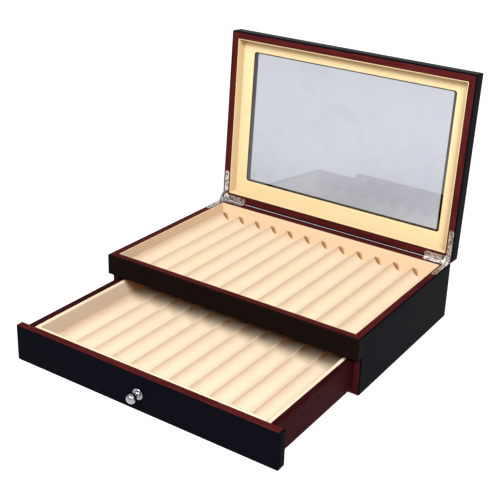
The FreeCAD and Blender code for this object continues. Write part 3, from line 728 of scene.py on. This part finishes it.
def velvet_material(name, colour_value, nap, shade_mask=nowhere):
    """Velvet in one colour: pile, soft sheen, a fuzzy bump and painted shade where the shade
    mask is 1.

    Light that the pile throws on to its surroundings is darker and redder than its face: painted
    shade that deepens and browns the shade nearby.
    """
    material, tree, shader = new_material(name)
    vector = object_vector(tree)
    pile = tree.group("velvet_pile", Vector=vector, Color=rgba(colour_value), Nap=nap)
    shade = tree.mix(shade_mask(tree, vector), pile["Color"], tree.tint(pile["Color"], CORNER_SHADE_SHARE))
    # painted shade: light bounced from the pile takes a darker, redder copy of its colour
    bounced = tree.add("ShaderNodeLightPath").outputs["Is Diffuse Ray"]
    tree.fill(shader, Base_Color=tree.mix(bounced, shade, tree.tint(shade, BOUNCE_SHADE_SHARE)),
              Roughness=pile["Roughness"], Specular_IOR_Level=0.08, Sheen_Weight=0.25,
              Sheen_Roughness=0.5, Sheen_Tint=SHEEN_TINT,
              Normal=tree.bump(pile["Height"], 0.2 * MM, strength=0.45))
    return material


def felt_material(settings):
    """Pressed felt: matted fibres with a few lighter ones."""
    material, tree, shader = new_material("felt")
    pile = tree.group("velvet_pile", Vector=object_vector(tree), Color=rgba(settings.felt),
                      Nap=0.5, Nap_Size=6 * MM, Tuft_Size=0.7 * MM)
    tree.fill(shader, Base_Color=pile["Color"], Roughness=pile["Roughness"],
              Normal=tree.bump(pile["Height"], 0.4 * MM, strength=0.8), Specular_IOR_Level=0.05)
    return material


def lacquered_material(name, finish, vector_of, grain_turn, band, black_paint):
    """Black lacquer with a red stained band where the band mask is 1.

    grain_turn turns the grain, which runs along X, to run along Y for a side board.
    """
    material, tree, shader = new_material(name)
    vector = vector_of(tree)
    mask = band(tree, vector)
    black = tree.group("rubbed_lacquer", Vector=vector, Roughness=LACQUER_ROUGH,
                       Color=rgba(black_paint))
    grain = tree.group("wood_grain", Vector=tree.turned_flat(vector, grain_turn),
                       Light=rgba(finish.mahogany), Dark=rgba(finish.mahogany_dark))
    red_rough = tree.plus(LACQUER_ROUGH, tree.times(grain["Height"], 0.08))
    rough = tree.add("ShaderNodeMix", {0: mask, 2: black["Roughness"], 3: red_rough})
    tree.fill(shader, Base_Color=tree.mix(mask, black["Color"], grain["Color"]),
              Roughness=rough.outputs[0], Specular_IOR_Level=0.004,
              Normal=tree.bump(black["Height"], 0.02 * MM, strength=0.35))
    return material


def red_band(**sizes):
    """Mask of a red band with these sizes, as a function of the tree and the vector."""
    return lambda tree, vector: tree.group("rim_band", Vector=vector, **sizes)["Mask"]


def base_band(finish):
    """Band on the base's rim."""
    low, high = TRAY_LINER
    half_x, half_y, face = RIGHT_PANEL[1]
    return red_band(Half_X=half_x, Half_Y=half_y, Face=face, Edge=finish.rim_edge,
                    Inner_X=high[0], Inner_Front=low[1], Inner_Back=high[1],
                    Line=finish.rim_inside)


def lid_band(finish):
    """Band on the lid's rim, with the lid shut."""
    lid = lid_sizes()
    return red_band(Half_X=lid["half_x"], Half_Y=lid["half_y"], Face=lid["low"],
                    Edge=finish.rim_edge, Inner_X=lid["x"][1], Inner_Front=lid["y"][0],
                    Inner_Back=lid["y"][1], Line=finish.rim_inside)


def side_panel_band(finish):
    """Band on the base's rim, and a weaker red on the side panels' ends behind the drawer front
    as painted shade.
    """
    rim = base_band(finish)
    edge = RIGHT_PANEL[1][0] - finish.rim_edge
    front = RIGHT_PANEL[0][1]

    def mask(tree, vector):
        x, y, _ = tree.axes(vector)
        end = tree.math("LESS_THAN", y, front + SOFT)
        from_edge = tree.minus(edge, tree.math("ABSOLUTE", x))
        # painted shade: the ends behind the drawer front get only part of the red
        shaded_end = tree.times(end, tree.span(from_edge, -SOFT, SOFT), END_SHADE_SHARE)
        return tree.math("MAXIMUM", rim(tree, vector), shaded_end)
    return mask


def drawer_front_band():
    """Band along the top edge of the drawer front, with some black left at both ends."""
    low, high = DRAWER_FRONT
    middle = (low[1] + high[1]) / 2
    band = red_band(Half_X=high[0] - FRONT_END_BLACK, Half_Y=(high[1] - low[1]) / 2,
                    Face=high[2], Edge=SOFT, Reach=BAND_DEPTH, Inner_X=-1.0, Inner_Front=1.0,
                    Inner_Back=-1.0)
    return lambda tree, vector: band(tree, tree.mapping(vector, location=(0, -middle, 0)))


def board_material(name, colour_value, dark_share, roughness, specular):
    """Stained board with grain along Y."""
    material, tree, shader = new_material(name)
    vector = tree.turned_flat(object_vector(tree), QUARTER_TURN)
    grain = tree.group("wood_grain", Vector=vector, Light=rgba(colour_value),
                       Dark=darker(colour_value, dark_share), Contrast=0.8)
    rub = tree.group("rubbed_lacquer", Vector=vector, Color=grain["Color"],
                     Roughness=roughness)
    tree.fill(shader, Base_Color=rub["Color"], Roughness=rub["Roughness"],
              Specular_IOR_Level=specular,
              Normal=tree.bump(grain["Height"], 0.04 * MM, strength=0.4))
    return material


def metal_material(name, colour_value, roughness, lines, wear, bump):
    """Brushed or polished metal."""
    material, tree, shader = new_material(name)
    brushed = tree.group("brushed_metal", Vector=object_vector(tree),
                         Color=rgba(colour_value), Roughness=roughness, Lines=lines, Wear=wear)
    tree.fill(shader, Base_Color=brushed["Color"], Roughness=brushed["Roughness"],
              Normal=tree.bump(brushed["Height"], 0.02 * MM, strength=bump), Metallic=1.0)
    return material


def glass_material(finish):
    """Clear glass with a faint grey tint, slow ripples and cloudy smears."""
    material, tree, shader = new_material("window_glass")
    vector = object_vector(tree)
    ripple = tree.noise(vector, scale=14.0, detail=2.0)
    cloud = tree.noise(vector, scale=26.0, detail=4.0, roughness=0.6, distortion=1.0)
    smear = tree.span(cloud, 0.45, 0.75)
    tint, cloudy = rgba(finish.glass), darker(finish.glass, 0.94)
    tree.fill(shader, Base_Color=tree.mix(smear, tint, cloudy),
              Roughness=tree.times(smear, 0.015), Transmission_Weight=1.0, IOR=1.62,
              Normal=tree.bump(ripple, 0.1 * MM, strength=0.02))
    return material


def paint(nodes, material):
    """Give CAD nodes one material."""
    for node in nodes:
        mesh = frame["nodes"][node].data
        mesh.materials.clear()
        mesh.materials.append(material)


def lid_sizes():
    """Places in the shut lid, worked out from the lid pieces turned back about the hinge."""
    def shut(node):
        mesh = frame["nodes"][node].data
        points = np.empty(len(mesh.vertices) * 3)
        mesh.vertices.foreach_get("co", points)
        back = turned(points.reshape(-1, 3), -OPEN_ANGLE)
        return back.min(axis=0).tolist(), back.max(axis=0).tolist()

    rail_low, rail_high = shut("lid_right_rail")
    front_low, _ = shut("lid_front_rail")
    x, y, liner_z = zip(*shut("lid_liner"))
    mat_x, mat_y, mat_z = zip(*shut("lid_mat"))
    return {"half_x": rail_high[0], "half_y": -front_low[1], "low": rail_low[2],
            "x": x, "y": y, "liner_z": liner_z,
            "mat_x": mat_x, "mat_y": mat_y, "mat_z": mat_z}


# ---------------------------------------------------------------- operators
class CHEST_OT_tray_velvet(bpy.types.Operator):
    """Slotted velvet insert and thin lining of the upper tray"""
    bl_idname = "chest.tray_velvet"
    bl_label = "Tray velvet"

    def execute(self, context):
        settings = context.scene.chest_linings
        velvet = velvet_material("velvet_tray", settings.tray_velvet, nap=0.10)
        slotted_insert("tray_velvet", TRAY, "carcass",
                       ["tray_insert_left", "tray_insert_right"], settings, velvet)
        x, y, z = zip(*TRAY_LINER)
        points, faces = thin_lining(x, y, *z, settings.thin_board)
        # the lining's back board carries painted shade in the slots' back corners
        lining = velvet_material("velvet_tray_lining", settings.tray_lining, nap=0.10,
                                 shade_mask=self.painted_corner_shade(settings))
        new_piece("tray_lining", points, faces, "carcass", ["tray_liner"], lining)
        return {"FINISHED"}

    @staticmethod
    def painted_corner_shade(settings):
        """Painted shade in the corners at the back ends of the slots."""
        low, high = TRAY

        def mask(tree, vector):
            return tree.group("painted_slot_shade", Vector=vector, Left=low[0],
                              Pitch=settings.slot_pitch,
                              Count=(high[0] - low[0]) // settings.slot_pitch,
                              Radius=settings.slot_radius,
                              Centre=low[2] + settings.slot_skin + settings.slot_radius,
                              Top=high[2], Back=high[1] - MM)["Mask"]
        return mask


class CHEST_OT_drawer_velvet(bpy.types.Operator):
    """Slotted velvet insert and padded boards of the drawer"""
    bl_idname = "chest.drawer_velvet"
    bl_label = "Drawer velvet"

    def execute(self, context):
        settings = context.scene.chest_linings
        velvet = velvet_material("velvet_drawer", settings.drawer_velvet, nap=0.10)
        slotted_insert("drawer_velvet", DRAWER, "drawer", ["drawer_insert"], settings, velvet)
        low, high = DRAWER_LINER
        thick = settings.drawer_board
        profile = rounded_top(thick, low[2], high[2], settings.drawer_round)
        lower = rounded_top(thick, low[2], high[2] - settings.back_drop, settings.drawer_round)
        inner = (low[0] + thick, high[0] - thick)
        boards = [straight_board((low[0], high[1]), (low[0], low[1]), (1, 0), *profile),
                  straight_board((high[0], low[1]), (high[0], high[1]), (-1, 0), *profile),
                  straight_board((inner[0], low[1]), (inner[1], low[1]), (0, 1), *profile),
                  straight_board((inner[1], high[1]), (inner[0], high[1]), (0, -1), *lower)]
        points = np.concatenate([board[0] for board in boards])
        starts = np.cumsum([0] + [len(board[0]) for board in boards[:-1]])
        faces = [[index + int(start) for index in face]
                 for start, board in zip(starts, boards) for face in board[1]]
        lining = new_piece("drawer_lining", points, faces, "drawer", ["drawer_liner"],
                           velvet)
        return {"FINISHED"}


class CHEST_OT_lid_velvet(bpy.types.Operator):
    """Velvet mat round the window and thin lining of the lid"""
    bl_idname = "chest.lid_velvet"
    bl_label = "Lid velvet"

    def execute(self, context):
        settings = context.scene.chest_linings
        velvet = velvet_material("velvet_lid", settings.lid_velvet, nap=0.12)
        lid = lid_sizes()
        bottom, top = lid["liner_z"]
        # The lining hangs rounded edge down, so it is made upside down and turned over.
        points, faces = thin_lining(lid["x"], lid["y"], -top, -bottom, settings.thin_board)
        points[:, 2] *= -1
        new_piece("lid_lining", turned(points, OPEN_ANGLE), faces[:, ::-1], "lid",
                  ["lid_liner"], velvet)
        points, faces = self.mat(settings, lid)
        mat = new_piece("lid_mat_velvet", turned(points, OPEN_ANGLE), faces, "lid",
                        ["lid_mat"], velvet)
        mat.data.shade_smooth()
        return {"FINISHED"}

    @staticmethod
    def mat(settings, lid):
        """Flat ring whose opening edge is rolled over.

        The profile is a row of (share across, height) points: share 0 is the lid wall and
        share 1 the opening. The four sides have their own widths, so each side's inset is
        its width times the share, and the corner rounding grows with the share.
        """
        x, y, z = lid["mat_x"], lid["mat_y"], lid["mat_z"]
        wall = settings.thin_board
        roll = settings.mat_thick * 0.5
        width = settings.mat_side - wall
        turn = np.linspace(-QUARTER_TURN, QUARTER_TURN, EDGE_STEPS)
        bend = width - roll + roll * np.cos(turn)
        bend_z = (z[0] + z[1]) / 2 + roll * np.sin(turn)
        flat = MAT_LINES * (width - roll)
        inset = np.concatenate([flat, bend, flat[::-1]])
        height = np.concatenate([np.full_like(flat, z[0]), bend_z, np.full_like(flat, z[1])])
        share = inset / width
        radius = MAT_WALL_CORNER + (settings.mat_corner - MAT_WALL_CORNER) * share
        loop_x, loop_y = rounded_loops(x, y, inset, radius, MAT_CORNER_STEPS)
        side_y = np.repeat([settings.mat_front, settings.mat_back, settings.mat_back,
                            settings.mat_front], MAT_CORNER_STEPS) - wall
        sign = np.repeat([1, -1, -1, 1], MAT_CORNER_STEPS)
        loop_y = loop_y + sign * (side_y - width) * share[:, None]
        faces = grid_faces(*loop_x.shape, wrap_rows=True, wrap_columns=True)
        return loop_points(loop_x, loop_y, height), faces


class CHEST_OT_felt(bpy.types.Operator):
    """Felt sheet under the base"""
    bl_idname = "chest.felt"
    bl_label = "Felt"

    def execute(self, context):
        settings = context.scene.chest_linings
        low, high = FELT
        turn = np.linspace(0, QUARTER_TURN, FELT_EDGE_STEPS)
        roll = (high[2] - low[2]) * FELT_ROUND
        inset = np.concatenate([[0.0], roll * (1 - np.cos(turn))])
        height = np.concatenate([[high[2]], low[2] + roll * (1 - np.sin(turn))])
        corner = np.full_like(inset, FELT_CORNER)
        x, y, _ = zip(low, high)
        loop_x, loop_y = rounded_loops(x, y, inset, corner, CORNER_STEPS)
        rows, columns = loop_x.shape
        sides = grid_faces(rows, columns, wrap_columns=True)[:, ::-1]
        top = [list(range(columns))]
        bottom = [list(range((rows - 1) * columns, rows * columns))[::-1]]
        faces = sides.tolist() + top + bottom
        new_piece("felt_sheet", loop_points(loop_x, loop_y, height), faces, "carcass",
                  ["base_felt"], felt_material(settings))
        return {"FINISHED"}


class CHEST_OT_case_finish(bpy.types.Operator):
    """Lacquer and red bands on the base, the drawer and the lid"""
    bl_idname = "chest.case_finish"
    bl_label = "Case finish"

    def execute(self, context):
        finish = context.scene.chest_finish
        lacquer, rail_bounce_black = finish.lacquer, finish.rail_bounce_black
        base, lid = base_band(finish), lid_band(finish)
        lacquered = (
            ("side_panel", object_vector, QUARTER_TURN, side_panel_band(finish), lacquer,
             ["right_side_panel", "left_side_panel"]),
            # the front rail gets the warmed black: painted bounce light from the drawer's velvet
            ("front_rail", object_vector, 0, base, rail_bounce_black, ["front_rail"]),
            ("back_panel", object_vector, 0, base, lacquer, ["back_panel"]),
            ("lid_side", shut_vector, QUARTER_TURN, lid, lacquer,
             ["lid_right_rail", "lid_left_rail"]),
            ("lid_front_and_back", shut_vector, 0, lid, lacquer,
             ["lid_front_rail", "lid_back_rail"]),
            ("lid_top", shut_vector, 0, nowhere, lacquer, ["lid_top_panel"]),
            ("drawer_front", object_vector, 0, drawer_front_band(), lacquer,
             ["drawer_front"]))
        for name, *look, nodes in lacquered:
            paint(nodes, lacquered_material("lacquer_" + name, finish, *look))
        paint(["drawer_right_side", "drawer_left_side", "drawer_back"],
              board_material("varnished_mahogany", finish.drawer_wood, dark_share=0.45,
                             roughness=0.40, specular=0.006))
        paint(["drawer_bottom", "bottom_board", "tray_floor", "drawer_stop"],
              board_material("stained_board", finish.board, dark_share=0.5, roughness=0.6,
                             specular=0.08))
        return {"FINISHED"}


class CHEST_OT_metalwork(bpy.types.Operator):
    """Hinges, screws, stays, knob and rosette"""
    bl_idname = "chest.metalwork"
    bl_label = "Metalwork"

    def execute(self, context):
        finish = context.scene.chest_finish
        plates = metal_material("brushed_steel", finish.steel, roughness=0.30, lines=0.4,
                                wear=0.62, bump=0.5)
        screws = metal_material("screw_steel", finish.screw, roughness=0.38, lines=0.3,
                                wear=0.4, bump=0.3)
        chrome = metal_material("polished_metal", finish.chrome, roughness=0.08, lines=0.06,
                                wear=0.25, bump=0.08)
        paint(["base_leaf_left", "base_leaf_right", "lid_leaf_left", "lid_leaf_right",
               "stay_arm_left", "stay_arm_right"], plates)
        paint(["base_leaf_screws", "lid_leaf_screws", "hinge_pin_left", "hinge_pin_right",
               "knob_screw"], screws)
        paint(["knob", "knob_rosette"], chrome)
        return {"FINISHED"}


class CHEST_OT_window(bpy.types.Operator):
    """Glass of the lid's window"""
    bl_idname = "chest.window"
    bl_label = "Window"

    def execute(self, context):
        paint(["window_glass"], glass_material(context.scene.chest_finish))
        return {"FINISHED"}


class CHEST_OT_stage(bpy.types.Operator):
    """Pale floor, soft light and camera"""
    bl_idname = "chest.stage"
    bl_label = "Stage"

    def execute(self, context):
        studio = context.scene.chest_studio
        self.floor()
        self.sky(context.scene, studio.ambient)
        self.lamp("front_lamp", studio.front_place, studio.front_size, studio.front_power)
        self.lamp("side_lamp", studio.side_place, studio.side_size, studio.side_power)
        self.camera(context.scene, studio)
        context.scene.view_settings.view_transform = "Standard"
        return {"FINISHED"}

    @staticmethod
    def seen_directly(tree):
        """1 for camera, glossy and transmission rays."""
        path = tree.add("ShaderNodeLightPath").outputs
        either = tree.math("MAXIMUM", path["Is Camera Ray"], path["Is Glossy Ray"])
        return tree.math("MAXIMUM", either, path["Is Transmission Ray"])

    def floor(self):
        """Large level floor that keeps the shadow and glows for the camera, most far away."""
        side = np.linspace(-FLOOR_HALF, FLOOR_HALF, FLOOR_POINTS)
        x, y = np.meshgrid(side, side, indexing="ij")
        points = np.stack([x, y, np.zeros_like(x)], axis=-1).reshape(-1, 3)
        material, tree, shader = new_material("floor_white")
        x, y, _ = tree.axes(object_vector(tree))
        far = tree.math("SQRT", tree.plus(tree.times(x, x), tree.times(y, y)))
        strength = tree.span(far, GLOW_FROM, GLOW_TO, GLOW_LOW, GLOW_HIGH)
        glow = tree.times(self.seen_directly(tree), strength)
        tree.fill(shader, Base_Color=FLOOR_PAINT, Roughness=1.0, Specular_IOR_Level=0.0,
                  Emission_Color=WHITE, Emission_Strength=glow)
        faces = grid_faces(FLOOR_POINTS, FLOOR_POINTS)
        floor = new_object("floor", points, faces, material)

    def sky(self, scene, ambient):
        """White sky to look at, weaker and warmer as a source of light."""
        world = bpy.data.worlds.new("studio")
        world.use_nodes = True
        tree = Tree(world.node_tree)
        background = world.node_tree.nodes["Background"].inputs
        seen = self.seen_directly(tree)
        tree.fill(background, Color=tree.mix(seen, WARM, WHITE),
                  Strength=tree.span(seen, 0, 1, ambient, 1.0, smooth=False))
        scene.world = world

    @staticmethod
    def lamp(name, middle, size, power):
        """Square soft lamp aimed at the chest."""
        light = bpy.data.lights.new(name, "AREA")
        light.size = size
        light.energy = power
        lamp = bpy.data.objects.new(name, light)
        lamp.location = middle
        aim = LAMP_TARGET - Vector(middle)
        lamp.rotation_euler = aim.to_track_quat("-Z", "Y").to_euler()
        bpy.context.scene.collection.objects.link(lamp)

    @staticmethod
    def camera(scene, studio):
        """Camera by azimuth, elevation, roll and distance from its target."""
        azimuth, elevation = studio.azimuth, studio.elevation
        back = Vector((math.sin(azimuth) * math.cos(elevation),
                       -math.cos(azimuth) * math.cos(elevation), math.sin(elevation)))
        level = Vector((math.cos(azimuth), math.sin(azimuth), 0))
        upright = back.cross(level)
        right = level * math.cos(studio.roll) + upright * math.sin(studio.roll)
        up = upright * math.cos(studio.roll) - level * math.sin(studio.roll)
        data = bpy.data.cameras.new("camera")
        data.lens = studio.lens
        data.shift_x = studio.shift_x
        data.shift_y = studio.shift_y
        camera = bpy.data.objects.new("camera", data)
        pose = Matrix((right, up, back)).transposed().to_4x4()
        pose.translation = Vector(studio.target) + back * studio.distance
        camera.matrix_world = pose
        scene.collection.objects.link(camera)
        scene.camera = camera


class CHEST_PT_panel(bpy.types.Panel):
    """Chest settings and pieces"""
    bl_idname = "CHEST_PT_panel"
    bl_label = "Pen collector chest"
    bl_space_type = "VIEW_3D"
    bl_region_type = "UI"
    bl_category = "Chest"

    def draw(self, context):
        for group in (context.scene.chest_linings, context.scene.chest_finish,
                      context.scene.chest_studio):
            box = self.layout.box()
            for name in group.__annotations__:
                box.prop(group, name)
        for operator in OPERATORS:
            self.layout.operator(operator.bl_idname)


SETTINGS = {"chest_linings": ChestLiningSettings, "chest_finish": ChestFinishSettings,
            "chest_studio": ChestStudioSettings}
OPERATORS = (CHEST_OT_tray_velvet, CHEST_OT_drawer_velvet, CHEST_OT_lid_velvet, CHEST_OT_felt,
             CHEST_OT_case_finish, CHEST_OT_metalwork, CHEST_OT_window, CHEST_OT_stage)


def register():
    """Add the settings, operators and panel."""
    for name, settings in SETTINGS.items():
        bpy.utils.register_class(settings)
        setattr(bpy.types.Scene, name, PointerProperty(type=settings))
    for item in (*OPERATORS, CHEST_PT_panel):
        bpy.utils.register_class(item)


def unregister():
    """Take them away again."""
    for item in (CHEST_PT_panel, *reversed(OPERATORS)):
        bpy.utils.unregister_class(item)
    for name, settings in SETTINGS.items():
        delattr(bpy.types.Scene, name)
        bpy.utils.unregister_class(settings)


def main():
    """Make every piece in order."""
    register()
    bpy.ops.chest.tray_velvet()
    bpy.ops.chest.drawer_velvet()
    bpy.ops.chest.lid_velvet()
    bpy.ops.chest.felt()
    bpy.ops.chest.case_finish()
    bpy.ops.chest.metalwork()
    bpy.ops.chest.window()
    bpy.ops.chest.stage()


if __name__ == "__main__":
    main()
